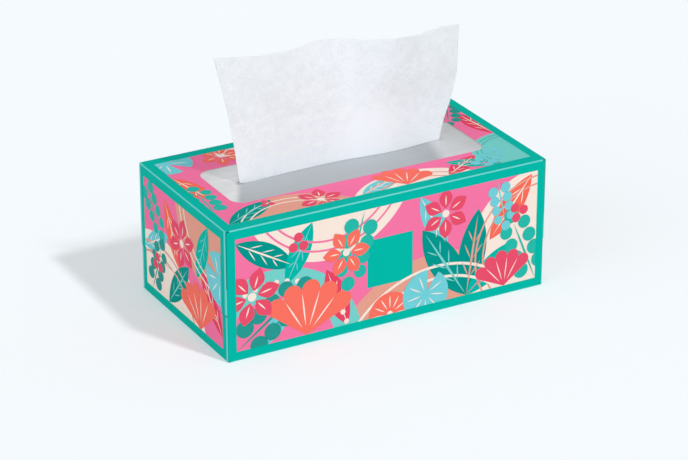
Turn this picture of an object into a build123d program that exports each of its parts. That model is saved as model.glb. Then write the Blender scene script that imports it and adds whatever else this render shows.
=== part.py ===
"""A flat carton of facial tissues, with one tissue raised through the slit in its film window.

The carton is one blank of printed card, folded into a tube and closed at both ends by glued
flaps. The origin is at the middle of its base, +X runs along its length, +Y to its back and
+Z up. All sizes are in millimetres.
"""

import os

from build123d import *

# Carton
carton_length = 230.0
carton_width = 122.0
carton_height = 89.0
card_thickness = 0.45
fold_radius = 0.8  # outside radius of a fold
fold_land = 1.0  # flat card between the tube's end and the dust flap's fold
top_flap_length = 57.0  # the outer flap, from the top panel down to the seam
bottom_flap_length = 50.0
dust_flap_length = 48.0
flap_corner_radius = 2.0
glue_flap_length = 14.0  # along the inside of the back panel
glue_seam_lift = 0.5  # from the base up to the back panel's cut edge

# Opening in the top panel
opening_end_margin = 24.0  # from the carton's end to the opening
opening_side_margin = 33.0
opening_radius = 9.0

# Film under the opening
film_thickness = 0.06
film_margin = 12.0  # glued to the card all round the opening
film_radius = 6.0
lip_margin = 3.0  # flat film between the opening's edge and the foot of a lip
slit_end_margin = 16.5  # from the opening's end to the slit
slit_offset = 1.5  # the slit lies this far behind the middle
slit_tent = 1.0  # how far the tissue lifts the middle of the lips
lip_clearance = 0.3  # between a lip and the tissue

# Pack of tissues
stack_end_space = 8.0  # between the pack and the carton's end
stack_side_space = 6.0
stack_radius = 2.0
head_space = 6.0  # between the pack and the film

# Raised tissue
tissue_thickness = 0.3  # both plies
tissue_fold_radius = 1.2
tissue_height = 170.0  # its top edge, above the base
tissue_slit_margin = 1.5  # from the slit's end to the tissue's edge
tissue_flare = 9.0  # how much further each edge reaches at the top
tissue_tail = 50.0  # the half that lies on the pack

# Print
ink_thickness = 0.05
side_border = 6.5  # bare card round the field on the front and the back
top_border = 8.5
top_end_border = 7.0
end_border = 7.0

# From the raised tissue's foot to its top edge: the height, the flare and the depth of the waves
flare_shares = [(0, 0, 0), (0.28, 0.4, 0.1), (0.62, 0.62, 0.45), (1, 1, 1)]
# Along the top edge: the place on the half width, and the depth on the raised height
wave_shares = [
    (-1, 0.16),
    (-0.8, 0.08),
    (-0.64, 0.03),
    (-0.36, 0.07),
    (-0.13, 0.11),
    (0.07, 0.04),
    (0.3, -0.1),
    (0.55, -0.15),
    (0.79, -0.1),
    (1, -0.12),
]
# Along the slit: the place on the half length, and the lift on the full lift
tent_shares = [(-1, 0), (-0.6, 0.65), (0, 1), (0.6, 0.65), (1, 0)]

# Outlines of the printed motifs, as shares of a motif's size
leaf_belly_share = 0.34
arch_band_share = 0.3

# Each row: ink, motif, place along and up the field, turn in degrees, size on the field's height
front_rows = [
    ("salmon", "disc", 0.66, -0.66, 0, 1.12),
    ("cream", "disc", 1.02, 0.3, 0, 0.74),
    ("cream", "disc", 0.3, 1.45, 0, 0.82),
    ("mint", "arch", 0.12, -0.16, 0, 0.82),
    ("aqua", "leaf", 0.6, 1.0, -62, 0.56),
    ("aqua", "leaf", 0.1, 0.0, 62, 0.5),
    ("coral", "leaf", 0.98, 0.98, -128, 0.66),
    ("crimson", "leaf", 0.36, 0.0, 110, 0.58),
    ("deep_green", "leaf", 0.76, 0.0, 122, 0.82),
    ("deep_green", "leaf", 0.76, 0.0, 82, 0.78),
    ("deep_green", "leaf", 0.0, 0.96, -30, 0.62),
    ("teal", "leaf", 0.76, 0.0, 40, 0.62),
    ("teal", "leaf", 0.245, 1.0, -116, 0.56),
    ("teal", "plate", 0.5, 0.5, 0, 0.43),
]
top_rows = [
    ("salmon", "disc", 0.2, -0.24, 0, 0.46),
    ("cream", "disc", 0.6, -0.36, 0, 0.54),
    ("cream", "disc", 0.34, 1.32, 0, 0.5),
    ("mint", "disc", 1.0, 0.12, 0, 0.3),
    ("aqua", "leaf", 0.43, 0.0, 22, 0.34),
    ("coral", "leaf", 0.0, 0.76, -80, 0.4),
    ("crimson", "leaf", 0.72, 0.0, 32, 0.34),
    ("crimson", "leaf", 1.0, 0.42, 96, 0.38),
    ("deep_green", "leaf", 0.0, 0.0, 28, 0.42),
    ("deep_green", "leaf", 0.55, 1.0, -20, 0.38),
    ("deep_green", "leaf", 0.55, 1.0, -160, 0.38),
    ("teal", "leaf", 0.9, 0.0, 150, 0.34),
]
end_rows = [
    ("salmon", "disc", 0.92, 1.1, 0, 0.72),
    ("cream", "disc", 0.2, -0.34, 0, 0.9),
    ("aqua", "leaf", 0.0, 0.36, 30, 0.52),
    ("coral", "leaf", 0.28, 0.94, -62, 0.64),
    ("crimson", "leaf", 1.0, 0.1, 128, 0.6),
    ("deep_green", "leaf", 0.3, 0.0, 50, 0.64),
    ("teal", "leaf", 0.84, 1.0, -112, 0.58),
]

# The inks from the first on the card to the last. The first four fill each panel together, and the
# others are printed over them
ground_inks = ["pink", "salmon", "cream", "mint"]
motif_inks = ["aqua", "coral", "crimson", "deep_green", "teal"]

# Places that follow from the sizes
half_length = carton_length / 2
half_width = carton_width / 2
tube_half_length = half_length - 2 * card_thickness - fold_radius - fold_land
flap_half_width = half_width - fold_radius
opening_length = carton_length - 2 * opening_end_margin
opening_width = carton_width - 2 * opening_side_margin
slit_length = opening_length - 2 * slit_end_margin
stack_length = carton_length - 2 * stack_end_space
stack_width = carton_width - 2 * stack_side_space
tissue_foot_width = slit_length - 2 * tissue_slit_margin
tissue_top_width = tissue_foot_width + 2 * tissue_flare
card_middle = card_thickness / 2
fold_middle_radius = fold_radius - card_middle
seam_height = carton_height - top_flap_length
film_top = carton_height - card_thickness
film_bottom = film_top - film_thickness
stack_top = film_bottom - head_space
slit_gap = tissue_thickness + 2 * lip_clearance
tissue_rise = tissue_height - film_top


def folded_card(*corners):
    """The section of a strip of card, given the corners of the line through its middle."""
    with BuildSketch() as section:
        with BuildLine():
            FilletPolyline(*corners, radius=fold_middle_radius)
        trace(line_width=card_thickness)
    return section.sketch


def flat_face(*corners):
    """A flat face with straight edges."""
    return Face(Wire.make_polygon(corners))


def faceted_sheet(rows, thickness):
    """A solid sheet of flat facets, given the points of its middle in rows and its thickness as a vector."""
    half = thickness / 2
    faces = []
    for lower, upper in zip(rows, rows[1:]):
        for first, second, third, fourth in zip(lower, lower[1:], upper[1:], upper):
            for shift in (half, -half):
                faces.append(flat_face(first + shift, second + shift, third + shift))
                faces.append(flat_face(first + shift, third + shift, fourth + shift))
    outline = rows[0] + [row[-1] for row in rows[1:]] + rows[-1][-2::-1] + [row[0] for row in rows[-2::-1]]
    for first, second in zip(outline, outline[1:]):
        faces.append(flat_face(first - half, second - half, second + half, first + half))
    return Solid(Shell(faces))


def placed(shape, along, up, turn):
    """A flat shape, turned about its own origin and moved to its place."""
    return shape.moved(Location((along, up, 0), (0, 0, turn)))


def leaf(size):
    """A leaf that is pointed at both ends and lies along +X from its foot."""
    belly = size * leaf_belly_share / 2
    with BuildSketch() as shape:
        with BuildLine():
            ThreePointArc((0, 0), (size / 2, belly), (size, 0))
            ThreePointArc((size, 0), (size / 2, -belly), (0, 0))
        make_face()
    return shape.sketch


def disc(size):
    """A full disc."""
    with BuildSketch() as shape:
        Circle(size)
    return shape.sketch


def arch(size):
    """A round band, of which the field's edge often shows only an arch."""
    with BuildSketch() as shape:
        Circle(size)
        Circle(size * (1 - arch_band_share), mode=Mode.SUBTRACT)
    return shape.sketch


def plate(size):
    """A square plate."""
    with BuildSketch() as shape:
        Rectangle(size, size)
    return shape.sketch


motifs = {"leaf": leaf, "disc": disc, "arch": arch, "plate": plate}


def printed_fields(inks, rows, panel):
    """What each ink shows on a panel, once the inks printed over it are cut out of it."""
    width, height = panel.bounding_box().size.X, panel.bounding_box().size.Y
    shown = {}
    over = []
    for name in reversed(inks):
        shapes = [
            placed(motifs[motif](height * size_share), (along - 1 / 2) * width, (up - 1 / 2) * height, turn)
            for row_ink, motif, along, up, turn, size_share in rows
            if row_ink == name
        ]
        if name == ground_inks[0]:
            shapes = [panel]
        if not shapes:
            continue
        with BuildSketch() as field:
            add(shapes)
            add(panel, mode=Mode.INTERSECT)
            if over:
                add(over, mode=Mode.SUBTRACT)
        shown[name] = field.sketch
        over.append(field.sketch)
    return shown


def cut_band(sketch, low, high):
    """The faces of an end panel's print between two heights, cut off at both."""
    reaching = []
    for face in sketch.faces():
        reach = face.bounding_box()
        if reach.max.Y > low and reach.min.Y < high:
            reaching.append(face)
    if not reaching:
        return []
    with BuildSketch() as band:
        add(reaching)
        with Locations((0, (low + high) / 2)):
            Rectangle(end_width, high - low, mode=Mode.INTERSECT)
    return band.faces()


os.makedirs("parts", exist_ok=True)

# Carton: the right half is folded up, then mirrored to the left
with BuildPart() as carton:
    with BuildSketch(Plane.YZ):
        back_middle = half_width - card_middle
        glue_flap_middle = back_middle - card_thickness
        add(
            folded_card(
                (glue_flap_middle, glue_flap_length),
                (glue_flap_middle, card_middle),
                (-back_middle, card_middle),
                (-back_middle, carton_height - card_middle),
                (back_middle, carton_height - card_middle),
                (back_middle, seam_height),
            )
        )
        with Locations((back_middle, (glue_seam_lift + seam_height) / 2)):
            Rectangle(card_thickness, seam_height - glue_seam_lift)
    extrude(amount=tube_half_length)

    with BuildSketch(Plane.XZ):
        add(
            folded_card(
                (tube_half_length, carton_height - card_middle),
                (half_length - card_middle, carton_height - card_middle),
                (half_length - card_middle, seam_height),
            )
        )
    extrude(amount=flap_half_width, both=True)
    flap_corners = carton.edges().filter_by(Axis.X).group_by(Axis.X)[-1]
    fillet(flap_corners, radius=flap_corner_radius)
    with BuildSketch(Plane.XZ):
        add(
            folded_card(
                (tube_half_length, card_middle),
                (half_length - card_thickness - card_middle, card_middle),
                (half_length - card_thickness - card_middle, bottom_flap_length),
            )
        )
    extrude(amount=flap_half_width, both=True)

    with BuildSketch(Plane.XY.offset(fold_radius)):
        dust_flap_middle = half_length - 2 * card_thickness - card_middle
        for side in (-1, 1):
            panel_middle = side * (half_width - card_middle)
            add(
                folded_card(
                    (tube_half_length, panel_middle),
                    (dust_flap_middle, panel_middle),
                    (dust_flap_middle, side * (half_width - dust_flap_length)),
                )
            )
    extrude(amount=carton_height - 2 * fold_radius)

    mirror(about=Plane.YZ)
    with BuildSketch(Plane.XY.offset(film_top)):
        RectangleRounded(opening_length, opening_width, opening_radius)
    extrude(amount=card_thickness, mode=Mode.SUBTRACT)
carton.part.label = "carton"
export_step(carton.part, "parts/carton.step")

# Film: a flat sheet under the top panel, with two lips that rise to the slit
with BuildPart() as film_window:
    slit_half_length = slit_length / 2
    lip_foot = opening_width / 2 - lip_margin
    with BuildSketch(Plane.XY.offset(film_bottom)):
        RectangleRounded(opening_length + 2 * film_margin, opening_width + 2 * film_margin, film_radius)
        Rectangle(slit_length, 2 * lip_foot, mode=Mode.SUBTRACT)
    extrude(amount=film_thickness)
    film_middle = (film_bottom + film_top) / 2
    for side in (-1, 1):
        lip_rows = []
        for edge, tent in ((side * lip_foot, 0), (slit_offset + side * slit_gap / 2, slit_tent)):
            lip_rows.append(
                [
                    Vector(slit_half_length * along_share, edge, film_middle + tent * lift_share)
                    for along_share, lift_share in tent_shares
                ]
            )
        add(faceted_sheet(lip_rows, Vector(0, 0, film_thickness)))
film_window.part.label = "film_window"
export_step(film_window.part, "parts/film_window.step")

# Pack of interfolded tissues
with BuildPart() as tissue_stack:
    with BuildSketch(Plane.XY.offset(card_thickness)):
        RectangleRounded(stack_length, stack_width, stack_radius)
    extrude(amount=stack_top - card_thickness)
tissue_stack.part.label = "tissue_stack"
export_step(tissue_stack.part, "parts/tissue_stack.step")

# Raised tissue: its tail lies on the pack, and its waves grow towards the top edge
with BuildPart() as raised_tissue:
    with BuildSketch(Plane.YZ):
        with BuildLine():
            FilletPolyline(
                (slit_offset + tissue_tail, stack_top + tissue_thickness / 2),
                (slit_offset, stack_top + tissue_thickness / 2),
                (slit_offset, film_top),
                radius=tissue_fold_radius,
            )
        trace(line_width=tissue_thickness)
    extrude(amount=tissue_foot_width / 2, both=True)
    tissue_rows = []
    for height_share, width_share, depth_share in flare_shares:
        tissue_half_width = (tissue_foot_width + (tissue_top_width - tissue_foot_width) * width_share) / 2
        tissue_rows.append(
            [
                Vector(
                    tissue_half_width * place,
                    slit_offset + tissue_rise * depth_share * depth,
                    film_top + tissue_rise * height_share,
                )
                for place, depth in wave_shares
            ]
        )
    add(faceted_sheet(tissue_rows, Vector(0, tissue_thickness, 0)))
raised_tissue.part.label = "raised_tissue"
export_step(raised_tissue.part, "parts/raised_tissue.step")

# Print: the colour fields lie on the outside of the front, back, top and end panels
end_width = carton_width - 2 * end_border
end_height = carton_height - 2 * end_border
middle_height = carton_height / 2
seam = seam_height - middle_height

with BuildSketch() as front_panel:
    Rectangle(carton_length - 2 * side_border, carton_height - 2 * side_border)
with BuildSketch() as top_panel:
    Rectangle(carton_length - 2 * top_end_border, carton_width - 2 * top_border)
    RectangleRounded(opening_length, opening_width, opening_radius, mode=Mode.SUBTRACT)
with BuildSketch() as end_panel:
    Rectangle(end_width, end_height)

front_plane = Plane(origin=(0, -half_width, middle_height), x_dir=(1, 0, 0), z_dir=(0, -1, 0))
back_plane = Plane(origin=(0, half_width, middle_height), x_dir=(-1, 0, 0), z_dir=(0, 1, 0))
top_plane = Plane.XY.offset(carton_height)
# Each band of an end panel's print: its lowest and highest place, and the face that it lies on
flap_bands = ((seam, end_height / 2, half_length), (-end_height / 2, seam, half_length - card_thickness))

for level, inks in enumerate((ground_inks, motif_inks)):
    front_fields = printed_fields(inks, front_rows, front_panel.sketch)
    top_fields = printed_fields(inks, top_rows, top_panel.sketch)
    end_fields = printed_fields(inks, end_rows, end_panel.sketch)
    flat_panels = ((front_plane, front_fields), (back_plane, front_fields), (top_plane, top_fields))
    for name in inks:
        with BuildPart() as print_layer:
            for plane, fields in flat_panels:
                if name in fields:
                    with BuildSketch(plane.offset(level * ink_thickness)):
                        add(fields[name])
            for low, high, face in flap_bands:
                band = cut_band(end_fields[name], low, high) if name in end_fields else []
                for side in (-1, 1):
                    if band:
                        end_plane = Plane(
                            origin=(side * face, 0, middle_height), x_dir=(0, side, 0), z_dir=(side, 0, 0)
                        )
                        with BuildSketch(end_plane.offset(level * ink_thickness)):
                            add(band)
            extrude(amount=ink_thickness)
        print_layer.part.label = f"print_{name}"
        export_step(print_layer.part, f"parts/print_{name}.step")
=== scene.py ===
"""Dresses the tissue box: printed card, film window, tissues, floor, lights and camera."""

import math
from bisect import bisect_right

import bpy
from bpy.props import FloatProperty, FloatVectorProperty, IntProperty, PointerProperty
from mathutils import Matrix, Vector, noise


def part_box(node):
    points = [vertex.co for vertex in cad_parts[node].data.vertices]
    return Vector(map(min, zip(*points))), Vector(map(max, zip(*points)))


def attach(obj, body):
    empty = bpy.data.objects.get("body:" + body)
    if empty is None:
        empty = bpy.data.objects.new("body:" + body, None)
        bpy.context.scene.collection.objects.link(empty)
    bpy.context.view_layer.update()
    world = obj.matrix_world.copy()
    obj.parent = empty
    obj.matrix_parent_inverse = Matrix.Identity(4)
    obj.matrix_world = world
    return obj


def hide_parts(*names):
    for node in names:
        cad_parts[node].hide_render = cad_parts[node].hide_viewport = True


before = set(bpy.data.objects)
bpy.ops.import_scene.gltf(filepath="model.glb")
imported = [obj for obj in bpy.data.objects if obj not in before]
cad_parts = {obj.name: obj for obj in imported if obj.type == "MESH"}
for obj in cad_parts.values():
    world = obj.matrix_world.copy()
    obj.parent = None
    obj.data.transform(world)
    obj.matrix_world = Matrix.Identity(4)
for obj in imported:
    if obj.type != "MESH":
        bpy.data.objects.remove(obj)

bl_info = {
    "name": "Tissue box",
    "version": (1, 0, 0),
    "blender": (4, 5, 0),
    "location": "View3D > Sidebar > Tissue Box",
    "description": "Finishes a printed carton of tissues and sets it in a plain studio",
    "category": "Object",
}

MM = 0.001
BODY = "root"
CARTON_LOW, CARTON_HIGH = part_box("carton")
FILM_LOW, FILM_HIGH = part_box("film_window")
STACK_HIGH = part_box("tissue_stack")[1]
TISSUE_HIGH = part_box("raised_tissue")[1]

# Outline of the raised tissue: how far up, and half the width there
LEFT_EDGE = [(0, 0.0732), (0.14, 0.0744), (0.37, 0.0760), (0.6, 0.0782), (0.84, 0.0810), (1, 0.0832)]
RIGHT_EDGE = [(0, 0.0725), (0.16, 0.0750), (0.34, 0.0792), (0.57, 0.0819), (0.72, 0.0816), (1, 0.0802)]
# Top edge of the raised tissue: the place on its half width, and how far back of the slit it lies
TOP_EDGE = [
    *((-1, 0.0135), (-0.8, 0.0065), (-0.64, 0.0032), (-0.36, 0.0035), (-0.13, 0.0093)),
    *((0.07, 0.0033), (0.3, -0.0100), (0.55, -0.0126), (0.79, -0.0088), (1, -0.0093)),
]
# Soft waves. Each layer holds its rate across and up, its seed, and its share of the depth
FILM_WRINKLES = [(22, 90, 3.1, 1), (40, 170, 7.7, 0.4)]
TAIL_WAVES = [(20, 90, 0, 1)]
PLEATS = [(14, 1.5, 5.0, 1), (31, 3, 9.0, 0.5)]
DRIFT_WAVES = [(4, 4, 1.0, 1)]
TIP_WAVES = [(5, 0, 4.0, 1)]

# Fine print over the broad fields of colour. Each row holds the ink, the motif, its place along and up
# the field, its turn in degrees, and its size as a share of the field's height. A row covers those above it
FRONT_ROWS = [
    ("salmon", "arcs", 1.02, 0.3, 0, 0.74),
    ("pink", "arcs", 0.3, 1.45, 0, 0.82),
    ("cream", "arcs", 0.66, -0.66, 0, 1.12),
    ("cream", "beads", 0.12, -0.16, 0, 0.7),
    ("cream", "ribs", 0.6, 1, -62, 0.56),
    ("deep_green", "ribs", 0.1, 0, 62, 0.5),
    ("cream", "ribs", 0.98, 0.98, -128, 0.66),
    ("cream", "ribs", 0.36, 0, 110, 0.58),
    ("mint", "ribs", 0.76, 0, 122, 0.82),
    ("salmon", "ribs", 0.76, 0, 82, 0.78),
    ("cream", "ribs", 0, 0.96, -30, 0.62),
    ("pink", "ribs", 0.76, 0, 40, 0.62),
    ("aqua", "ribs", 0.245, 1, -116, 0.56),
    ("deep_green", "sprig", 0, 0, 36, 0.86),
    ("coral", "fan", 0.225, 0, 84, 0.5),
    ("crimson", "flower", 0.05, 0.46, 12, 0.26),
    ("teal", "sprig", 0.415, 1, -104, 0.72),
    ("coral", "disc", 0.5, 0, 0, 0.2),
    ("coral", "flower", 0.355, 0.66, 0, 0.22),
    ("aqua", "pad", 0.62, 0.1, 70, 0.22),
    ("crimson", "flower", 0.685, 0.8, 30, 0.23),
    ("teal", "sprig", 1, 0, 112, 0.76),
    ("crimson", "fan", 0.89, 0, 96, 0.34),
    ("aqua", "sprig", 0.86, 1, -78, 0.5),
    ("crimson", "berries", 0.2, 0.84, 0, 0.1),
    ("crimson", "berries", 0.935, 0.66, 40, 0.1),
]
TOP_ROWS = [
    ("cream", "arcs", 0.2, -0.24, 0, 0.46),
    ("salmon", "arcs", 0.6, -0.36, 0, 0.54),
    ("pink", "arcs", 0.34, 1.32, 0, 0.5),
    ("teal", "arcs", 1, 0.12, 0, 0.3),
    ("cream", "ribs", 0.43, 0, 22, 0.34),
    ("cream", "ribs", 0, 0.76, -80, 0.4),
    ("cream", "ribs", 0.72, 0, 32, 0.34),
    ("cream", "ribs", 1, 0.42, 96, 0.38),
    ("mint", "ribs", 0, 0, 28, 0.42),
    ("salmon", "ribs", 0.55, 1, -20, 0.38),
    ("mint", "ribs", 0.55, 1, -160, 0.38),
    ("pink", "ribs", 0.9, 0, 150, 0.34),
    ("teal", "sprig", 0, 0.16, 84, 0.44),
    ("crimson", "flower", 0.31, 0.06, 12, 0.15),
    ("coral", "fan", 0.58, 0, 74, 0.24),
    ("aqua", "pad", 0.03, 0.98, -60, 0.17),
    ("coral", "flower", 0.2, 0.92, 12, 0.14),
    ("coral", "fan", 0.8, 1, -100, 0.24),
    ("deep_green", "sprig", 1, 1, -118, 0.4),
    ("aqua", "sprig", 0.82, 0, 38, 0.34),
    ("crimson", "berries", 0.16, 0.16, 0, 0.05),
]
END_ROWS = [
    ("cream", "arcs", 0.92, 1.1, 0, 0.72),
    ("salmon", "arcs", 0.2, -0.34, 0, 0.9),
    ("cream", "ribs", 0, 0.36, 30, 0.52),
    ("cream", "ribs", 0.28, 0.94, -62, 0.64),
    ("cream", "ribs", 1, 0.1, 128, 0.6),
    ("mint", "ribs", 0.3, 0, 50, 0.64),
    ("aqua", "ribs", 0.84, 1, -112, 0.58),
    ("teal", "sprig", 0, 1, -52, 0.6),
    ("crimson", "flower", 0.5, 0.66, 20, 0.24),
    ("coral", "fan", 0.72, 0, 100, 0.42),
    ("deep_green", "sprig", 0.08, 0, 66, 0.6),
    ("aqua", "pad", 0.98, 0.62, 150, 0.24),
    ("crimson", "berries", 0.16, 0.28, 0, 0.1),
]


def paint(red, green, blue):
    """A colour given as screen values from 0 to 255, in the linear values that shaders use."""
    linear = []
    for value in (red, green, blue):
        share = value / 255
        linear.append(share / 12.92 if share <= 0.04045 else ((share + 0.055) / 1.055) ** 2.4)
    return tuple(linear)


def colour_property(name, description, red, green, blue):
    """A colour that a user may change."""
    return FloatVectorProperty(
        name=name,
        description=description,
        default=paint(red, green, blue),
        subtype="COLOR",
        min=0,
        max=1,
    )


def length_property(name, description, default):
    """A length that a user may change."""
    return FloatProperty(name=name, description=description, default=default, unit="LENGTH", precision=5)


def number_property(name, description, default):
    """A plain number that a user may change."""
    return FloatProperty(name=name, description=description, default=default)


def angle_property(name, description, degrees):
    """An angle that a user may change."""
    return FloatProperty(name=name, description=description, default=math.radians(degrees), unit="ROTATION")


def count_property(name, description, default):
    """A whole number that a user may change."""
    return IntProperty(name=name, description=description, default=default, min=5)


class TissueBoxPrint(bpy.types.PropertyGroup):
    """Colours of the card and of the inks printed on it."""

    teal: colour_property("Teal", "Ground of the card's printed side, and some leaves", 0, 178, 161)
    # Fold line: a painted highlight along each fold, where the rounded fold catches the light
    fold: colour_property("Fold line", "Paler print where the card is folded", 112, 204, 202)
    board: colour_property("Board", "Bare board inside the carton and on its cut edges", 206, 200, 190)
    pink: colour_property("Pink", "Ground of the printed panels", 240, 115, 160)
    salmon: colour_property("Salmon", "Some of the large rounds", 224, 156, 137)
    cream: colour_property("Cream", "Pale rounds and fine lines", 243, 224, 211)
    mint: colour_property("Mint", "Arches, small rounds and the ribs of dark leaves", 115, 202, 196)
    aqua: colour_property("Aqua", "Pale leaves, sprigs and round pads", 107, 200, 208)
    coral: colour_property("Coral", "Fans, small flowers and some leaves", 244, 105, 86)
    crimson: colour_property("Crimson", "Large flowers, berries and some leaves", 227, 66, 97)
    deep_green: colour_property("Deep green", "Dark leaves and sprigs", 0, 145, 135)
    fold_highlight_width: length_property("Fold line width", "Width of the paler line beside each fold", 0.8 * MM)
    # Side step: carries the painted fold highlight from a corner over the shaded gap beside the outer flap's
    # side edge
    side_step: length_property("Side step", "From a corner in to the side edge of the outer flap", 1.75 * MM)
    varnish_roughness: number_property("Varnish roughness", "Roughness of the satin varnish", 0.46)
    side_border: length_property("Side border", "Bare card round the print of the front and back", 6.5 * MM)
    top_border: length_property("Top border", "Bare card before and behind the print of the top", 8.5 * MM)
    end_border: length_property("End border", "Bare card round the ends' print and beside the top's", 7 * MM)
    opening_end: length_property("Opening end", "From the end of the carton to the opening", 24 * MM)
    opening_side: length_property("Opening side", "From the front of the carton to the opening", 33 * MM)
    seam_height: length_property("Seam height", "Lower edge of the end's outer flap", 32 * MM)
    # Seam width and seam shade: a painted shadow on the end's lower flap, darkest just under the outer flap's
    # edge
    seam_width: length_property("Seam width", "Width of the dark line under the outer flap", 1.5 * MM)
    seam_shade: number_property("Seam shade", "Share of its brightness that the dark line loses", 0.8)
    card: length_property("Card", "Thickness of the card", 0.45 * MM)
    proud: length_property("Proud", "Height of the fine print over the card", 0.1 * MM)
    step: length_property("Step", "Height of each layer of the fine print over the one it covers", 0.01 * MM)


class TissueBoxFilm(bpy.types.PropertyGroup):
    """Shape and colour of the film window."""

    tint: colour_property("Tint", "Milky colour of the film", 238, 238, 238)
    # Lifted tint: painted shade on the film where the tissue lifts it off the pack
    lifted_shade_tint: colour_property("Lifted tint", "Film where the tissue lifts it off the pack", 175, 179, 182)
    cover: number_property("Cover", "How much of what lies under the film it hides", 0.82)
    slit_half_length: length_property("Slit half length", "Half the length of the slit", 74.5 * MM)
    slit_y: length_property("Slit place", "How far the slit lies behind the middle", 1.5 * MM)
    dip: length_property("Dip", "How far the slit bends to the front", 3 * MM)
    dip_x: length_property("Dip place", "Where along the slit it bends most", 33 * MM)
    dip_core: length_property("Dip core", "Half the length over which the bend is full", 2 * MM)
    dip_reach: length_property("Dip reach", "How far along the slit the bend fades", 34 * MM)
    slit_gap: length_property("Slit gap", "Opening of the slit round the tissue", 0.8 * MM)
    mouth: length_property("Mouth", "Wider gap in front of the tissue's left edge", 1.3 * MM)
    mouth_reach: length_property("Mouth reach", "How far along the slit the wider gap reaches", 14 * MM)
    slant: number_property("Slant", "How far the lifted film spreads to the left per step to the front", 0.55)
    lip_foot: length_property("Lip foot", "Where a lip starts to rise, from the middle", 25 * MM)
    lift: length_property("Lift", "How far the tissue lifts the lips", 0.4 * MM)
    wrinkle: length_property("Wrinkle", "Height of the film's wrinkles", 0.2 * MM)
    rows: count_property("Rows", "Points from each edge of the film to the slit", 44)
    columns: count_property("Columns", "Points along the film", 200)


class TissueBoxTissue(bpy.types.PropertyGroup):
    """Shape and colour of the tissues."""

    white: colour_property("White", "Colour of the tissue", 236, 240, 246)
    thickness: length_property("Thickness", "Thickness of both plies", 0.16 * MM)
    tail: length_property("Tail", "Length that lies on the pack, without the bend", 48 * MM)
    bend: length_property("Bend", "Radius of the bend from the pack up to the slit", 1.2 * MM)
    across: count_property("Across", "Faces across the raised tissue", 180)
    upwards: count_property("Upwards", "Faces up the raised tissue", 110)
    tail_steps: count_property("Tail steps", "Faces along the part that lies on the pack", 6)
    bend_steps: count_property("Bend steps", "Faces along the bend", 5)
    crease: length_property("Crease", "Depth of the soft fold down the middle", 0.9 * MM)
    ruffle: length_property("Ruffle", "Depth of the small pleats at the slit", 0.14 * MM)
    drift: length_property("Drift", "Depth of the soft unevenness", 0.6 * MM)
    # Glow colour and glow: painted light, an emission that stands in for light coming through the sheet
    painted_glow_colour: colour_property("Glow colour", "Light that comes through the sheet", 226, 240, 252)
    glow: number_property("Glow", "Strength of the light that comes through the sheet at its foot", 0.16)
    passing: number_property("Passing", "Share of the light that each face lets through", 0.75)


class TissueBoxStage(bpy.types.PropertyGroup):
    """Floor, lights and camera."""

    floor: colour_property("Floor", "Colour of the floor", 247, 252, 255)
    floor_size: length_property("Floor size", "Length of the floor's side", 9.0)
    glow: number_property("Glow", "Light that the pale floor gives by itself", 0.32)
    sky: number_property("Sky", "Strength of the even light from all sides", 0.5)
    key: number_property("Key", "Strength of the key light", 1.55)
    key_softness: angle_property("Key softness", "Width of the key light as seen from the box", 5)
    key_turn: angle_property("Key turn", "Direction of the key light, round from the front", 24)
    key_height: angle_property("Key height", "Height of the key light above the floor's plane", 48)
    fill: number_property("Fill", "Strength of the wide, weak light from the left", 0.75)
    fill_softness: angle_property("Fill softness", "Width of the fill light as seen from the box", 60)
    fill_turn: angle_property("Fill turn", "Direction of the fill light, round from the front", -75)
    fill_height: angle_property("Fill height", "Height of the fill light above the floor's plane", 20)
    camera_turn: angle_property("Camera turn", "Direction of the camera, round from the front", -29.08)
    camera_height: angle_property("Camera height", "Camera's angle above the floor's plane", 24.79)
    camera_distance: length_property("Camera distance", "From the camera to the point it looks at", 1.7708)
    camera_target: FloatVectorProperty(
        name="Camera target",
        description="Point that the camera looks at",
        default=(-0.0202, -0.0378, 0.06),
        subtype="XYZ",
        unit="LENGTH",
    )
    lens: number_property("Lens", "Focal length in millimetres", 147.5)
    sensor: number_property("Sensor", "Width of the camera's sensor in millimetres", 36)


def settings(context):
    """All the values that the panel shows."""
    scene = context.scene
    return scene.tissue_box_print, scene.tissue_box_film, scene.tissue_box_tissue, scene.tissue_box_stage


# Nodes
def feed(socket, value):
    """Sets a socket to a number or a colour, or links another socket to it."""
    if isinstance(value, bpy.types.NodeSocket):
        socket.id_data.links.new(value, socket)
    elif socket.type == "RGBA":
        socket.default_value = (*tuple(value)[:3], 1)
    else:
        socket.default_value = value


def wire(sockets, **values):
    """Feeds each value to the socket of that name."""
    for name, value in values.items():
        feed(sockets[name.replace("_", " ")], value)


def put(tree, kind, group=None, **values):
    """A new node with its sockets fed, which stands for a group if one is given."""
    node = tree.nodes.new(kind)
    if group:
        node.node_tree = group
    wire(node.inputs, **values)
    return node


def use(tree, group, **values):
    """The outputs of a node that stands for a group."""
    return put(tree, "ShaderNodeGroup", group, **values).outputs


def tree_of(*values):
    """The node tree of the first socket among some values."""
    return next(value.id_data for value in values if isinstance(value, bpy.types.NodeSocket))


def maths(operation, *values, clamp=False):
    """The result of one Math node, in the tree of its values."""
    node = tree_of(*values).nodes.new("ShaderNodeMath")
    node.operation = operation
    node.use_clamp = clamp
    for socket, value in zip(node.inputs, values):
        feed(socket, value)
    return node.outputs[0]


def plus(first, second):
    """The sum of two values."""
    return maths("ADD", first, second)


def minus(first, second):
    """The first value without the second."""
    return maths("SUBTRACT", first, second)


def times(first, second):
    """The product of two values."""
    return maths("MULTIPLY", first, second)


def size_of(value):
    """A value without its sign."""
    return maths("ABSOLUTE", value)


def ramp(value, low, high):
    """A smooth step from 0 at low to 1 at high."""
    node = put(tree_of(value), "ShaderNodeMapRange", Value=value, From_Min=low, From_Max=high)
    node.interpolation_type = "SMOOTHSTEP"
    return node.outputs["Result"]


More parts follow.
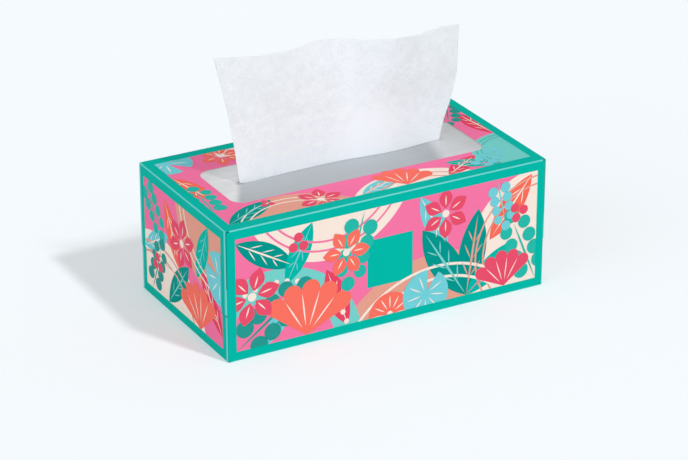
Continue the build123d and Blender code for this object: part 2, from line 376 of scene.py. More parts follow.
def blend(factor, first, second):
    """A mix of two colours."""
    node = tree_of(factor).nodes.new("ShaderNodeMix")
    node.data_type = "RGBA"
    colours = [socket for socket in node.inputs if socket.type == "RGBA"]
    feed(node.inputs["Factor"], factor)
    feed(colours[0], first)
    feed(colours[1], second)
    return next(socket for socket in node.outputs if socket.type == "RGBA")


def brightened(colour, value):
    """A colour with its brightness multiplied."""
    return put(tree_of(value), "ShaderNodeHueSaturation", Color=colour, Value=value).outputs["Color"]


def place_of(tree):
    """The place on the object."""
    return tree.nodes.new("ShaderNodeTexCoord").outputs["Object"]


def axes_of(vector):
    """The three parts of a vector."""
    return put(tree_of(vector), "ShaderNodeSeparateXYZ", Vector=vector).outputs


def stretched(place, rates):
    """A place with each of its axes multiplied by a rate."""
    node = put(tree_of(place), "ShaderNodeVectorMath", Vector=place)
    node.operation = "MULTIPLY"
    node.inputs[1].default_value = rates
    return node.outputs[0]


def noise_at(place, scale, detail, roughness=0.5):
    """Soft noise from 0 to 1."""
    values = {"Vector": place, "Scale": scale, "Detail": detail, "Roughness": roughness}
    return put(tree_of(place), "ShaderNodeTexNoise", **values).outputs["Fac"]


def new_group(name, inputs, outputs):
    """An empty shader group, and its input and output nodes. Its sockets hold numbers, but Color a colour."""
    group = bpy.data.node_groups.new(name, "ShaderNodeTree")
    for way, labels in (("INPUT", inputs), ("OUTPUT", outputs)):
        for label in labels:
            kind = "NodeSocketColor" if label == "Color" else "NodeSocketFloat"
            group.interface.new_socket(name=label, in_out=way, socket_type=kind)
    return group, group.nodes.new("NodeGroupInput").outputs, group.nodes.new("NodeGroupOutput").inputs


# How far a face looks outward where it starts and ends to count as printed
OUTWARD = (0.25, 0.45)
# Part of a painted fold highlight's width over which it is full
HIGHLIGHT_CORE = 0.7


def printed_side_group():
    """Masks for card that is printed outside: where its printed side shows, and a painted highlight along its
    folds, which on the ends reaches in to the outer flap's side edge.
    """
    group, given, result = new_group(
        "Printed side", ["Length", "Width", "Height", "Line Width", "Side Step"], ["Printed", "Fold"]
    )
    x, y, z = axes_of(place_of(group))
    normal = group.nodes.new("ShaderNodeNewGeometry").outputs["True Normal"]
    rise = minus(z, times(given["Height"], 0.5))
    sides = (given["Length"], given["Width"], given["Height"])
    gaps = []
    outward = []
    for position, size, tilt in zip((x, y, rise), sides, axes_of(normal)):
        gaps.append(minus(times(size, 0.5), size_of(position)))
        outward.append(times(tilt, maths("SIGN", position)))
    beside = maths("MAXIMUM", gaps[0], minus(gaps[1], given["Side Step"]))
    above = maths("MAXIMUM", maths("MINIMUM", gaps[0], gaps[1]), gaps[2])
    nearest = maths("MINIMUM", beside, above)
    facing = maths("MAXIMUM", outward[0], maths("MAXIMUM", outward[1], outward[2]))
    # Painted highlight along each fold, full near the fold and fading out at the line's width
    core = times(given["Line Width"], HIGHLIGHT_CORE)
    fold = minus(1.0, ramp(nearest, core, given["Line Width"]))
    wire(result, Printed=ramp(facing, *OUTWARD), Fold=fold)
    return group


# Noise in the ink: how fine the clouds and the grain are, and the card's fibres along each axis
CLOUD_SCALE = 55.0
GRAIN_SCALE = 1900.0
FIBRE_RATES = (260.0, 1500.0, 1500.0)


def ink_group():
    """Printed ink under varnish: a faint mottle in the colour, uneven gloss, the card's fibres, and a painted
    shadow on the ends just under the outer flap's lower edge.
    """
    group, given, result = new_group(
        "Ink on card",
        ["Color", "Mottle", "Roughness", "Seam Height", "Seam Width", "Seam Shade", "End"],
        ["Color", "Roughness", "Height"],
    )
    place = place_of(group)
    cloud = noise_at(place, CLOUD_SCALE, 4.0, 0.6)
    grain = noise_at(place, GRAIN_SCALE, 2.0)
    fibre = noise_at(stretched(place, FIBRE_RATES), 1.0, 3.0, 0.6)
    uneven = plus(times(cloud, 0.6), times(grain, 0.4))
    swing = times(minus(uneven, 0.5), given["Mottle"])
    x, _, z = axes_of(place)
    # Painted shadow under the outer flap: darker towards its lower edge, only below it and only on the ends
    low = minus(given["Seam Height"], given["Seam Width"])
    flap_shadow = ramp(z, low, given["Seam Height"])
    under = times(flap_shadow, maths("LESS_THAN", z, given["Seam Height"]))
    seam = times(under, maths("GREATER_THAN", size_of(x), given["End"]))
    value = minus(plus(swing, 1.0), times(seam, given["Seam Shade"]))
    gloss = maths("ADD", given["Roughness"], times(swing, 2.0), clamp=True)
    height = plus(times(fibre, 0.7), times(cloud, 0.3))
    wire(result, Color=brightened(given["Color"], value), Roughness=gloss, Height=height)
    return group


def pulp_group():
    """Soft creped tissue: fibres, fine crepe lines and a cloudy thickness."""
    group, given, result = new_group("Soft pulp", ["Color", "Cloud", "Crepe Scale"], ["Color", "Height"])
    place = place_of(group)
    cloud = noise_at(place, 140.0, 6.0, 0.65)
    fibre = noise_at(place, 800.0, 3.0, 0.7)
    crepe = put(
        group,
        "ShaderNodeTexWave",
        Vector=place,
        Scale=given["Crepe Scale"],
        Distortion=6.0,
        Detail=2.0,
        Detail_Scale=1.5,
    )
    crepe.bands_direction = "X"
    swing = times(minus(plus(cloud, fibre), 1.0), given["Cloud"])
    fine = plus(times(fibre, 0.35), times(crepe.outputs["Fac"], 0.15))
    height = plus(times(cloud, 0.5), fine)
    wire(result, Color=brightened(given["Color"], plus(swing, 1.0)), Height=height)
    return group


def group_named(name, build):
    """The group of that name, built the first time it is asked for."""
    return bpy.data.node_groups.get(name) or build()


def new_material(name, **values):
    """A material with one shader, and that shader's constant values."""
    material = bpy.data.materials.new(name)
    material.use_nodes = True
    tree = material.node_tree
    shader = tree.nodes["Principled BSDF"]
    wire(shader.inputs, **values)
    return material, tree, shader


def raise_surface(shader, height, strength, distance):
    """A bump from a height."""
    bump = put(tree_of(height), "ShaderNodeBump", Height=height, Strength=strength, Distance=distance)
    wire(shader.inputs, Normal=bump.outputs["Normal"])


# Varnish over the print
COAT = 0.02
COAT_ROUGHNESS = 0.3
INK_SHINE = 0.005


def ink_surface(tree, shader, colour, values):
    """Gives a shader the colour, roughness and bump of a printed surface of the carton, with the painted
    shadow under the ends' outer flaps.
    """
    surface = use(
        tree,
        group_named("Ink on card", ink_group),
        Color=colour,
        Mottle=0.06,
        Roughness=values.varnish_roughness,
        Seam_Height=values.seam_height,
        Seam_Width=values.seam_width,
        Seam_Shade=values.seam_shade,
        End=CARTON_HIGH.x - 2 * values.card,
    )
    wire(shader.inputs, Base_Color=surface["Color"], Roughness=surface["Roughness"])
    raise_surface(shader, surface["Height"], 0.25, 0.03 * MM)


def card_material(values):
    """Card printed teal outside, with a painted highlight along its folds and bare board inside."""
    size = CARTON_HIGH - CARTON_LOW
    material, tree, shader = new_material(
        "printed_card", Coat_Roughness=COAT_ROUGHNESS, Specular_IOR_Level=INK_SHINE
    )
    sides = use(
        tree,
        group_named("Printed side", printed_side_group),
        Length=size.x,
        Width=size.y,
        Height=size.z,
        Line_Width=values.fold_highlight_width,
        Side_Step=values.side_step,
    )
    # Teal print with the painted fold highlight over it
    print_with_highlight = blend(sides["Fold"], values.teal, values.fold)
    ink_surface(tree, shader, blend(sides["Printed"], values.board, print_with_highlight), values)
    wire(shader.inputs, Coat_Weight=times(sides["Printed"], COAT))
    return material


def ink_material(name, colour, values):
    """One printed ink under the varnish."""
    material, tree, shader = new_material(
        f"ink_{name}", Coat_Weight=COAT, Coat_Roughness=COAT_ROUGHNESS, Specular_IOR_Level=INK_SHINE
    )
    ink_surface(tree, shader, colour, values)
    return material


# Places where the film's painted light and shade fade. The first two are measured from the slit's left end
# and from the middle, the next three outward from the slit's end, the last two from the slit and from the
# middle
LIFT_FADE = (-2 * MM, 4 * MM)
RIGHT_FADE = (60 * MM, 71 * MM)
STREAK_FADE = (-20 * MM, 4 * MM)
BEYOND_FADE = (-2 * MM, 3 * MM)
MOUTH_FADE = (-12 * MM, -7 * MM)
LIP_FADE = (2.6 * MM, 1.6 * MM)
HOLLOW_FADE = (36 * MM, 54 * MM)
# How much darker the film is there from painted shade, as a part of its brightness; the streaks also paint
# light
STREAK_SHADES = (0.05, 0.3)
LIP_SHADES = (0.12, 0.5)
HOLLOW_SHADE = 0.09
# How much less of the painted lifted shade shows beyond the tissue's right edge, and how slanted that edge is
RIGHT_SHARE = 0.55
RIGHT_SLANT = 0.3
STREAK_RATES = (30.0, 170.0, 40.0)


def film_material(values):
    """Milky film with painted shade where it is lifted off the white pack, painted light and shade in soft
    streaks, a painted shade in a hollow right of the middle, and a painted shadow along the slit.
    """
    material, tree, shader = new_material("clear_film", Alpha=values.cover, IOR=1.5, Specular_IOR_Level=0.6)
    place = place_of(tree)
    x, y, _ = axes_of(place)
    end = values.slit_half_length
    beside = size_of(x)
    off_dip = size_of(minus(x, values.dip_x))
    bent = ramp(off_dip, values.dip_core + values.dip_reach, values.dip_core)
    front = minus(minus(values.slit_y, times(bent, values.dip)), y)
    left = plus(times(front, values.slant), plus(x, end))
    right = ramp(plus(x, times(front, RIGHT_SLANT)), *RIGHT_FADE)
    lifted = times(ramp(left, *LIFT_FADE), minus(1.0, times(right, RIGHT_SHARE)))
    streak = noise_at(stretched(place, STREAK_RATES), 1.0, 3.0)
    ends = ramp(beside, end + STREAK_FADE[0], end + STREAK_FADE[1])
    depth = plus(STREAK_SHADES[0], times(ends, STREAK_SHADES[1]))
    beyond = ramp(beside, end + BEYOND_FADE[0], end + BEYOND_FADE[1])
    lip = times(ramp(size_of(front), *LIP_FADE), minus(1.0, beyond))
    mouth = ramp(x, -MOUTH_FADE[0] - end, -MOUTH_FADE[1] - end)
    hollow_shadow = times(ramp(x, *HOLLOW_FADE), minus(1.0, right))
    # Painted light and shade: streaks both ways, painted shade in the hollow, and a painted shadow along the
    # slit's lips, darkest at the mouth
    swing = times(minus(streak, 0.5), depth)
    swing = minus(swing, times(hollow_shadow, HOLLOW_SHADE))
    swing = minus(swing, times(lip, plus(LIP_SHADES[0], times(mouth, LIP_SHADES[1]))))
    colour = brightened(blend(lifted, values.tint, values.lifted_shade_tint), plus(1.0, swing))
    wire(shader.inputs, Base_Color=colour, Roughness=plus(0.3, times(streak, 0.1)))
    raise_surface(shader, streak, 0.05, 0.2 * MM)
    return material


def pulp_material(name, colour, cloud, depth):
    """Soft white tissue, with its node tree and shader."""
    material, tree, shader = new_material(
        name,
        Roughness=0.95,
        Specular_IOR_Level=0.1,
        Sheen_Weight=0.1,
        Sheen_Roughness=0.6,
        Subsurface_Weight=0.5,
        Subsurface_Radius=(1, 1, 1),
        Subsurface_Scale=1.5 * MM,
    )
    surface = use(tree, group_named("Soft pulp", pulp_group), Color=colour, Cloud=cloud, Crepe_Scale=420.0)
    wire(shader.inputs, Base_Color=surface["Color"])
    raise_surface(shader, surface["Height"], 0.6, depth)
    return material, tree, shader


# Painted glow on the raised tissue, an emission in place of light through it: it fades up from the carton's
# top, and is stronger along a painted highlight band
GLOW_FADE = (-4 * MM, 56 * MM)
BAND_X = 14 * MM
BAND_FADE = (2 * MM, 30 * MM)
BAND_SHARE = 0.55


def sheet_material(values):
    """The raised tissue, so thin that light passes through it, with a painted glow that brightens its foot
    and a band.
    """
    material, tree, shader = pulp_material("pulp_sheet", values.white, 0.3, 0.25 * MM)
    x, _, z = axes_of(place_of(tree))
    low = minus(1.0, ramp(z, CARTON_HIGH.z + GLOW_FADE[0], CARTON_HIGH.z + GLOW_FADE[1]))
    highlight_band = minus(1.0, ramp(size_of(minus(x, BAND_X)), *BAND_FADE))
    # Painted light: an emission brighter at the foot and along the band
    light = plus(times(low, values.glow), times(highlight_band, values.glow * BAND_SHARE))
    shadow = tree.nodes.new("ShaderNodeLightPath").outputs["Is Shadow Ray"]
    wire(
        shader.inputs,
        Emission_Strength=1.0,
        Emission_Color=blend(light, (0, 0, 0), values.painted_glow_colour),
        Alpha=minus(1.0, times(shadow, values.passing)),
    )
    return material


# Fine print. Each motif is a list of outlines, for a motif of size 1 with its foot or middle at the origin
def ring_points(radius, start, end, count):
    """Points along an arc round the origin, between two angles in degrees."""
    angles = [math.radians(start + (end - start) * number / (count - 1)) for number in range(count)]
    return [Vector((radius * math.cos(angle), radius * math.sin(angle))) for angle in angles]


def blade(start, end, belly, turn=0, foot=(0, 0), count=9):
    """A leaf shape from start to end along a line from a foot, with its widest half at belly."""
    upper = []
    for number in range(count + 1):
        upper.append((start + (end - start) * number / count, belly * math.sin(math.pi * number / count)))
    lower = [(x, -y) for x, y in upper[-2:0:-1]]
    cosine, sine = math.cos(math.radians(turn)), math.sin(math.radians(turn))
    return [
        Vector((foot[0] + x * cosine - y * sine, foot[1] + x * sine + y * cosine)) for x, y in upper + lower
    ]


def dot(radius, place=(0, 0)):
    """A round dot."""
    return [point + Vector(place) for point in ring_points(radius, 0, 345, 24)]


def disc():
    """A full round."""
    return [dot(1)]


def ribs():
    """The middle rib of a leaf and three pairs of side ribs."""
    shapes = [blade(0, 0.94, belly=0.013)]
    for place, length in ((0.2, 0.2), (0.4, 0.2), (0.6, 0.15)):
        for turn in (-30, 30):
            shapes.append(blade(0.03, 0.03 + length, belly=0.008, turn=turn, foot=(place, 0)))
    return shapes


def sprig():
    """A stem with round leaves in pairs, and one at its tip."""
    shapes = [blade(0, 0.8, belly=0.013), dot(0.09, (0.9, 0))]
    for number in range(4):
        for side in (-1, 1):
            radius = 0.095 - 0.005 * number
            shapes.append(dot(radius, (0.2 + 0.18 * number, side * 0.125)))
    return shapes


def fan():
    """A fan with a scalloped rim."""
    outline = [Vector((0, 0))]
    for turn in (-48, -24, 0, 24, 48):
        angle = math.radians(turn)
        middle = 0.82 * Vector((math.cos(angle), math.sin(angle)))
        outline += [middle + point for point in ring_points(0.17, turn - 90, turn + 90, 9)]
    return [outline]


def fan_ribs():
    """Fine lines from the foot of a fan to the notches of its rim."""
    return [blade(0.16, 0.78, belly=0.014, turn=turn) for turn in (-36, -12, 12, 36)]


def pad():
    """A round leaf with a notch."""
    return [ring_points(1, 14, 346, 40) + [Vector((0.15, 0))]]


def pad_ribs():
    """Fine lines that spread over a round leaf."""
    return [blade(0.2, 0.84, belly=0.026, turn=40 * number) for number in range(1, 9)]


def flower():
    """Six round petals."""
    return [blade(0.2, 1, belly=0.27, turn=60 * number, count=12) for number in range(6)]


def heart():
    """The middle of a flower and a fine line on each petal."""
    return [dot(0.15)] + [blade(0.3, 0.72, belly=0.025, turn=60 * number) for number in range(6)]


def rays():
    """Fine lines that spread over a round."""
    return [dot(0.14)] + [blade(0.26, 0.86, belly=0.028, turn=30 * number) for number in range(12)]


def arcs():
    """Two fine rings inside the rim of a round, each in two halves."""
    shapes = []
    for radius in (0.9, 0.8):
        for start in (0, 180):
            outer = ring_points(radius, start, start + 180, 60)
            shapes.append(outer + ring_points(radius - 0.022, start + 180, start, 60))
    return shapes


def beads():
    """Dots along a ring."""
    return [dot(0.034, place) for place in ring_points(1, 0, 352, 45)]


def berries():
    """Three dots close together."""
    return [dot(0.42, place) for place in ring_points(0.55, 90, 330, 3)]


MOTIFS = {
    motif.__name__: motif
    for motif in (disc, ribs, sprig, fan, fan_ribs, pad, pad_ribs, flower, heart, rays, arcs, beads, berries)
}
# Motifs that have fine cream lines on them, and the motif that draws those lines
TRIMS = {"disc": "rays", "fan": "fan_ribs", "pad": "pad_ribs", "flower": "heart"}


def clip(points, low, high):
    """The part of an outline inside an upright rectangle, given two of the rectangle's corners."""
    for axis in (0, 1):
        for limit, side in ((low[axis], 1), (high[axis], -1)):
            kept = []
            for last, point in zip(points[-1:] + points[:-1], points):
                before, after = (last[axis] - limit) * side, (point[axis] - limit) * side
                if (before < 0) != (after < 0):
                    kept.append(last.lerp(point, before / (before - after)))
                if after >= 0:
                    kept.append(point)
            points = kept
            if len(points) < 3:
                return []
    return points


def printed_panels(values):
    """Each printed panel: its rows, width, height, and the flat regions that it is printed on."""
    size = CARTON_HIGH - CARTON_LOW
    middle = size.z / 2
    front = Vector((size.x - 2 * values.side_border, size.z - 2 * values.side_border)) / 2
    top = Vector((size.x - 2 * values.end_border, size.y - 2 * values.top_border)) / 2
    end = Vector((size.y - 2 * values.end_border, size.z - 2 * values.end_border)) / 2
    hole = Vector((size.x / 2 - values.opening_end, size.y / 2 - values.opening_side))
    seam = values.seam_height - middle
    x, y, z = Vector((1, 0, 0)), Vector((0, 1, 0)), Vector((0, 0, 1))
    centre = Vector((0, 0, middle))
    panels = [
        (FRONT_ROWS, front, [(-front, front, centre - y * size.y / 2, x, z)]),
        (FRONT_ROWS, front, [(-front, front, centre + y * size.y / 2, -x, z)]),
    ]
    above = z * size.z
    strips = [
        (-top, Vector((top.x, -hole.y)), above, x, y),
        (Vector((-top.x, hole.y)), top, above, x, y),
        (Vector((-top.x, -hole.y)), Vector((-hole.x, hole.y)), above, x, y),
        (Vector((hole.x, -hole.y)), Vector((top.x, hole.y)), above, x, y),
    ]
    panels.append((TOP_ROWS, top, strips))
    for side in (-1, 1):
        outer = centre + x * side * size.x / 2
        inner = outer - x * side * values.card
        bands = [
            (Vector((-end.x, seam)), end, outer, y * side, z),
            (-end, Vector((end.x, seam)), inner, y * side, z),
        ]
        panels.append((END_ROWS, end, bands))
    return panels


def with_trims(rows):
    """The rows, each followed by a row for the fine lines on it if it has any."""
    for ink, motif, *spot in rows:
        yield ink, motif, *spot
        if motif in TRIMS:
            yield "cream", TRIMS[motif], *spot


def layered(rows, half):
    """Each row with its place on the field and its size, one layer above the rows that it covers."""
    laid = []
    for ink, motif, along, up, turn, share in with_trims(rows):
        place = Vector(((2 * along - 1) * half.x, (2 * up - 1) * half.y))
        size = share * half.y * 2
        below = [layer for *_, spot, reach, layer in laid if (spot - place).length < reach + size]
        laid.append((ink, motif, turn, place, size, max(below, default=0) + 1))
    return laid


def fine_print(values):
    """The outlines of the fine print in space, gathered by ink."""
    inks = {}
    for rows, half, regions in printed_panels(values):
        for ink, motif, turn, place, size, layer in layered(rows, half):
            angle = math.radians(turn)
            across_motif = size * Vector((math.cos(angle), math.sin(angle)))
            up_motif = Vector((-across_motif.y, across_motif.x))
            for shape in MOTIFS[motif]():
                outline = [place + across_motif * point.x + up_motif * point.y for point in shape]
                for low, high, origin, across, upward in regions:
                    kept = clip(outline, low, high)
                    if kept:
                        face = origin + across.cross(upward) * (values.proud + values.step * layer)
                        inks.setdefault(ink, []).append([face + across * p.x + upward * p.y for p in kept])
    return inks


# Meshes
def smooth_step(share):
    """A soft ramp from 0 to 1."""
    share = min(max(share, 0), 1)
    return share * share * (3 - 2 * share)


def waves(layers, across, up):
    """The sum of some layers of soft waves at one place."""
    return sum(
        share * noise.noise(Vector((across * rate, up * rise, seed))) for rate, rise, seed, share in layers
    )


def slit_line(x, film):
    """How far back the slit lies at one place along it, for it isn't quite straight."""
    return film.slit_y - film.dip * (1 - smooth_step((abs(x - film.dip_x) - film.dip_core) / film.dip_reach))


def through(points, place):
    """A soft curve through chosen points, read at one place."""
    places = [point[0] for point in points]
    number = min(max(bisect_right(places, place), 1), len(points) - 1)
    (low, first), (high, second) = points[number - 1 : number + 1]
    before, after = points[max(number - 2, 0)], points[min(number + 1, len(points) - 1)]
    span = high - low
    leaving = (second - before[1]) / (high - before[0]) * span
    arriving = (after[1] - first) / (after[0] - low) * span
    share = min(max((place - low) / span, 0), 1)
    bend = 3 * (second - first) - 2 * leaving - arriving
    return first + share * (leaving + share * (bend + share * (leaving + arriving - 2 * (second - first))))


def new_piece(name, points, faces, material, node=None):
    """A smooth mesh that rides on the carton, and may stand for a solid of the frame."""
    mesh = bpy.data.meshes.new(name)
    mesh.from_pydata(points, [], faces)
    mesh.polygons.foreach_set("use_smooth", [True] * len(mesh.polygons))
    mesh.materials.append(material)
    mesh.update()
    piece = bpy.data.objects.new(name, mesh)
    bpy.context.scene.collection.objects.link(piece)
    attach(piece, BODY)
    if node:
        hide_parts(node)
    return piece


def quads(rows, columns, start=0):
    """Faces of a grid whose points run along each row in turn."""
    return [
        (start + row * columns + column, start + row * columns + column + 1,
         start + (row + 1) * columns + column + 1, start + (row + 1) * columns + column)
        for row in range(rows - 1)
        for column in range(columns - 1)
    ]


def apply_modifier(piece, modifier):
    """Makes what a modifier does part of the piece's mesh."""
    with bpy.context.temp_override(object=piece, active_object=piece, selected_objects=[piece]):
        bpy.ops.object.modifier_apply(modifier=modifier.name)


def thicken(piece, thickness):
    """Gives a sheet its thickness, half to each side."""
    modifier = piece.modifiers.new("thickness", "SOLIDIFY")
    modifier.thickness = thickness
    modifier.offset = 0
    apply_modifier(piece, modifier)


class TISSUEBOX_OT_card(bpy.types.Operator):
    """Finish the folded card and the inks printed on it"""

    bl_idname = "tissue_box.card"
    bl_label = "Printed card"

    def execute(self, context):
        values = settings(context)[0]
        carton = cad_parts["carton"]
        carton.data.materials.clear()
        carton.data.materials.append(card_material(values))
        for name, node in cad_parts.items():
            if name.startswith("print_"):
                ink = name.removeprefix("print_")
                node.data.materials.clear()
                node.data.materials.append(ink_material(ink, getattr(values, ink), values))
        return {"FINISHED"}


class TISSUEBOX_OT_fine_print(bpy.types.Operator):
    """Print the ribs, fronds, flowers and lines over the broad fields of colour"""

    bl_idname = "tissue_box.fine_print"
    bl_label = "Fine print"

    def execute(self, context):
        for ink, outlines in fine_print(settings(context)[0]).items():
            points, faces = [], []
            for outline in outlines:
                faces.append(list(range(len(points), len(points) + len(outline))))
                points += outline
            piece = new_piece(f"fine_{ink}", points, faces, bpy.data.materials[f"ink_{ink}"])
        return {"FINISHED"}


# Half the length and width of the film's opening, and how far inside it the wrinkles become full
OPENING_HALF = (91 * MM, 28 * MM)
WRINKLE_EDGE = 6 * MM
# The wider gap's place on the left half of the slit, and how fast the gap opens and the lips rise
MOUTH_PLACE = 0.9
GAP_EASE = 16
LIFT_EASE = 1.3
FOOT_POWER = 0.9


def gap_half(x, side, film):
    """Half the slit's gap at one place along it, wider in front of the tissue's left edge."""
    reach = 1 - abs(x) / film.slit_half_length
    off_mouth = (x + MOUTH_PLACE * film.slit_half_length) / film.mouth_reach
    mouth = film.mouth * math.exp(-off_mouth ** 2) if side < 0 else 0
    return (film.slit_gap / 2 + mouth) * smooth_step(reach * GAP_EASE)


def film_rise(x, y, film):
    """How far the film lies above its glued edge, lifted by the tissue and wrinkled in the opening."""
    reach = 1 - abs(x) / film.slit_half_length
    foot = smooth_step((film.lip_foot - abs(y)) / film.lip_foot)
    rise = film.lift * smooth_step(reach * LIFT_EASE) * foot ** FOOT_POWER
    inside = smooth_step((OPENING_HALF[1] - abs(y)) / WRINKLE_EDGE)
    inside *= smooth_step((OPENING_HALF[0] - abs(x)) / WRINKLE_EDGE)
    return rise + inside * film.wrinkle * waves(FILM_WRINKLES, x, y)


class TISSUEBOX_OT_film(bpy.types.Operator):
    """Stretch the film window under the top panel, with its slit lifted by the tissue"""

    bl_idname = "tissue_box.film"
    bl_label = "Film window"

    def execute(self, context):
        values = settings(context)[1]
        length = FILM_HIGH.x - FILM_LOW.x
        points, faces = [], []
        for side, edge in ((-1, FILM_LOW.y), (1, FILM_HIGH.y)):
            start = len(points)
            for row in range(values.rows):
                share = row / (values.rows - 1)
                for column in range(values.columns):
                    x = FILM_LOW.x + length * column / (values.columns - 1)
                    lip = slit_line(x, values) + gap_half(x, side, values) * side
                    y = edge + (lip - edge) * share
                    points.append((x, y, FILM_LOW.z + film_rise(x, y, values)))
            grid = quads(values.rows, values.columns, start)
            faces += grid if side < 0 else [face[::-1] for face in grid]
        piece = new_piece("film_sheet", points, faces, film_material(values), "film_window")
        weld = piece.modifiers.new("weld", "WELD")
        weld.merge_threshold = 0.01 * MM
        apply_modifier(piece, weld)
        return {"FINISHED"}


# The raised tissue's soft fold: its place and reach on the half width
CREASE_PLACE = -0.02
CREASE_REACH = 0.1
# How the waves of its top edge grow with height, where its uneven top starts, and how deep that is
SWAY_POWER = 1.35
TIP_START = 0.9
TIP_DEPTH = 0.3 * MM
# Depth of the waves in the part that lies on the pack
TAIL_DEPTH = 0.2 * MM


def half_width(across, up):
    """Half the raised tissue's width on the side of one place, given how far up it is."""
    return through(LEFT_EDGE if across < 0 else RIGHT_EDGE, up)


def standing_point(across, z, film, values):
    """A point of the part that stands, from the bend up through the slit to the top edge."""
    up = max(0, (z - CARTON_HIGH.z) / (TISSUE_HIGH.z - CARTON_HIGH.z))
    x = half_width(across, up) * across
    slit_bend = (slit_line(x, film) - film.slit_y) * (1 - smooth_step(up * 2))
    y = film.slit_y + slit_bend + through(TOP_EDGE, across) * up ** SWAY_POWER
    off_crease = (across - CREASE_PLACE) / CREASE_REACH
    y -= values.crease * math.exp(-off_crease ** 2) * smooth_step(up * 3)
    pleat_depth = values.ruffle * smooth_step(up * 8) * (1 - 0.6 * smooth_step(up * 1.6))
    y += pleat_depth * waves(PLEATS, across, up)
    y += values.drift * waves(DRIFT_WAVES, across, up) * smooth_step(up * 2)
    tip = TIP_DEPTH * smooth_step((up - TIP_START) / (1 - TIP_START))
    return x, y, z + tip * (waves(TIP_WAVES, across, up) - 1)


def tissue_rows(film, values):
    """The rows of points of the raised tissue's middle, from the end of its tail to its top edge."""
    places = [2 * column / values.across - 1 for column in range(values.across + 1)]
    floor = STACK_HIGH.z + values.thickness / 2
    rows = []
    for step in range(values.tail_steps + 1):
        y = film.slit_y + values.tail * (1 - step / values.tail_steps) + values.bend
        rows.append(
            [
                (half_width(across, 0) * across, y, floor + TAIL_DEPTH * waves(TAIL_WAVES, across, y))
                for across in places
            ]
        )
    for step in range(1, values.bend_steps + 1):
        turn = math.radians(90) * step / values.bend_steps
        z = floor + values.bend * (1 - math.cos(turn))
        row = []
        for across in places:
            x = half_width(across, 0) * across
            row.append((x, slit_line(x, film) + values.bend * (1 - math.sin(turn)), z))
        rows.append(row)
    start = floor + values.bend
    for step in range(values.upwards + 1):
        z = start + (TISSUE_HIGH.z - start) * step / values.upwards
        rows.append([standing_point(across, z, film, values) for across in places])
    return rows


class TISSUEBOX_OT_tissue(bpy.types.Operator):
    """Raise the top tissue through the slit, and finish the pack under it"""

    bl_idname = "tissue_box.tissue"
    bl_label = "Tissues"

    def execute(self, context):
        film, values = settings(context)[1:3]
        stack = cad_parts["tissue_stack"]
        stack.data.materials.clear()
        stack.data.materials.append(pulp_material("pulp_stack", values.white, 0.12, 0.2 * MM)[0])
        rows = tissue_rows(film, values)
        points = [point for row in rows for point in row]
        faces = quads(len(rows), len(rows[0]))
        piece = new_piece("tissue_sheet", points, faces, sheet_material(values), "raised_tissue")
        thicken(piece, values.thickness)
        return {"FINISHED"}


# Studio
def toward(turn, height):
    """The direction to a light or the camera, given its turn round from the front and its height."""
    return Vector((math.cos(height) * math.sin(turn), -math.cos(height) * math.cos(turn), math.sin(height)))


def new_sun(name, strength, width, direction):
    """A light so far away that its rays are parallel."""
    light = bpy.data.lights.new(name, "SUN")
    light.energy = strength
    light.angle = width
    lamp = bpy.data.objects.new(name, light)
    lamp.location = direction
    lamp.rotation_euler = direction.to_track_quat("Z", "Y").to_euler()
    bpy.context.scene.collection.objects.link(lamp)


# Brightness of the floor's surface and the depth of its faint clouds, and the sky's colour
FLOOR_SHADE = 0.7
FLOOR_CLOUDS = 0.01
SKY_COLOUR = (0.97, 0.985, 1.0, 1)
VIEW_END = 20


def new_floor(values):
    """A large pale floor that gives a little light by itself."""
    half = values.floor_size / 2
    corners = [(-half, -half, 0), (half, -half, 0), (half, half, 0), (-half, half, 0)]
    mesh = bpy.data.meshes.new("floor")
    mesh.from_pydata(corners, [], [(0, 1, 2, 3)])
    material, tree, shader = new_material(
        "floor",
        Roughness=0.9,
        Specular_IOR_Level=0.0,
        Emission_Color=values.floor,
        Emission_Strength=values.glow,
    )
    clouds = times(noise_at(place_of(tree), 2.0, 2.0), FLOOR_CLOUDS)
    wire(shader.inputs, Base_Color=brightened(values.floor, plus(FLOOR_SHADE, clouds)))
    mesh.materials.append(material)
    floor = bpy.data.objects.new("floor", mesh)
    bpy.context.scene.collection.objects.link(floor)


def new_camera(scene, values):
    """The camera that the scene is seen through."""
    camera = bpy.data.cameras.new("camera")
    camera.lens = values.lens
    camera.sensor_width = values.sensor
    camera.clip_end = VIEW_END
    viewer = bpy.data.objects.new("camera", camera)
    back = toward(values.camera_turn, values.camera_height)
    viewer.location = Vector(values.camera_target) + back * values.camera_distance
    viewer.rotation_euler = back.to_track_quat("Z", "Y").to_euler()
    scene.collection.objects.link(viewer)
    scene.camera = viewer


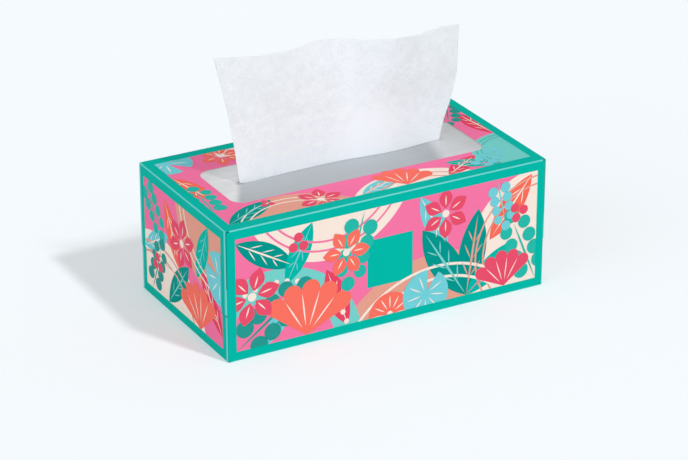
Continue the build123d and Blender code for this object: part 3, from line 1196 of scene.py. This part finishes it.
class TISSUEBOX_OT_stage(bpy.types.Operator):
    """Set the box on a pale floor in soft light, and place the camera"""

    bl_idname = "tissue_box.stage"
    bl_label = "Stage"

    def execute(self, context):
        values = settings(context)[3]
        scene = context.scene
        new_floor(values)
        scene.world = scene.world or bpy.data.worlds.new("studio")
        scene.world.use_nodes = True
        sky = scene.world.node_tree.nodes["Background"]
        sky.inputs["Color"].default_value = SKY_COLOUR
        sky.inputs["Strength"].default_value = values.sky
        new_sun("key", values.key, values.key_softness, toward(values.key_turn, values.key_height))
        new_sun("fill", values.fill, values.fill_softness, toward(values.fill_turn, values.fill_height))
        new_camera(scene, values)
        scene.view_settings.view_transform = "Standard"
        return {"FINISHED"}


class TISSUEBOX_PT_panel(bpy.types.Panel):
    """The pieces of the tissue box and the values that shape them"""

    bl_idname = "TISSUEBOX_PT_panel"
    bl_label = "Tissue Box"
    bl_space_type = "VIEW_3D"
    bl_region_type = "UI"
    bl_category = "Tissue Box"

    def draw(self, context):
        layout = self.layout
        operators = (["card", "fine_print"], ["film"], ["tissue"], ["stage"])
        for group, names in zip(settings(context), operators):
            box = layout.box()
            for name in names:
                box.operator(f"tissue_box.{name}")
            for label in group.bl_rna.properties.keys():
                if label not in ("rna_type", "name"):
                    box.prop(group, label)


CLASSES = (
    TissueBoxPrint,
    TissueBoxFilm,
    TissueBoxTissue,
    TissueBoxStage,
    TISSUEBOX_OT_card,
    TISSUEBOX_OT_fine_print,
    TISSUEBOX_OT_film,
    TISSUEBOX_OT_tissue,
    TISSUEBOX_OT_stage,
    TISSUEBOX_PT_panel,
)


def register():
    for item in CLASSES:
        bpy.utils.register_class(item)
    bpy.types.Scene.tissue_box_print = PointerProperty(type=TissueBoxPrint)
    bpy.types.Scene.tissue_box_film = PointerProperty(type=TissueBoxFilm)
    bpy.types.Scene.tissue_box_tissue = PointerProperty(type=TissueBoxTissue)
    bpy.types.Scene.tissue_box_stage = PointerProperty(type=TissueBoxStage)


def unregister():
    for name in ("print", "film", "tissue", "stage"):
        delattr(bpy.types.Scene, f"tissue_box_{name}")
    for item in reversed(CLASSES):
        bpy.utils.unregister_class(item)


def main():
    """Makes every piece in order."""
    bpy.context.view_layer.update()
    register()
    bpy.ops.tissue_box.card()
    bpy.ops.tissue_box.fine_print()
    bpy.ops.tissue_box.film()
    bpy.ops.tissue_box.tissue()
    bpy.ops.tissue_box.stage()


if __name__ == "__main__":
    main()
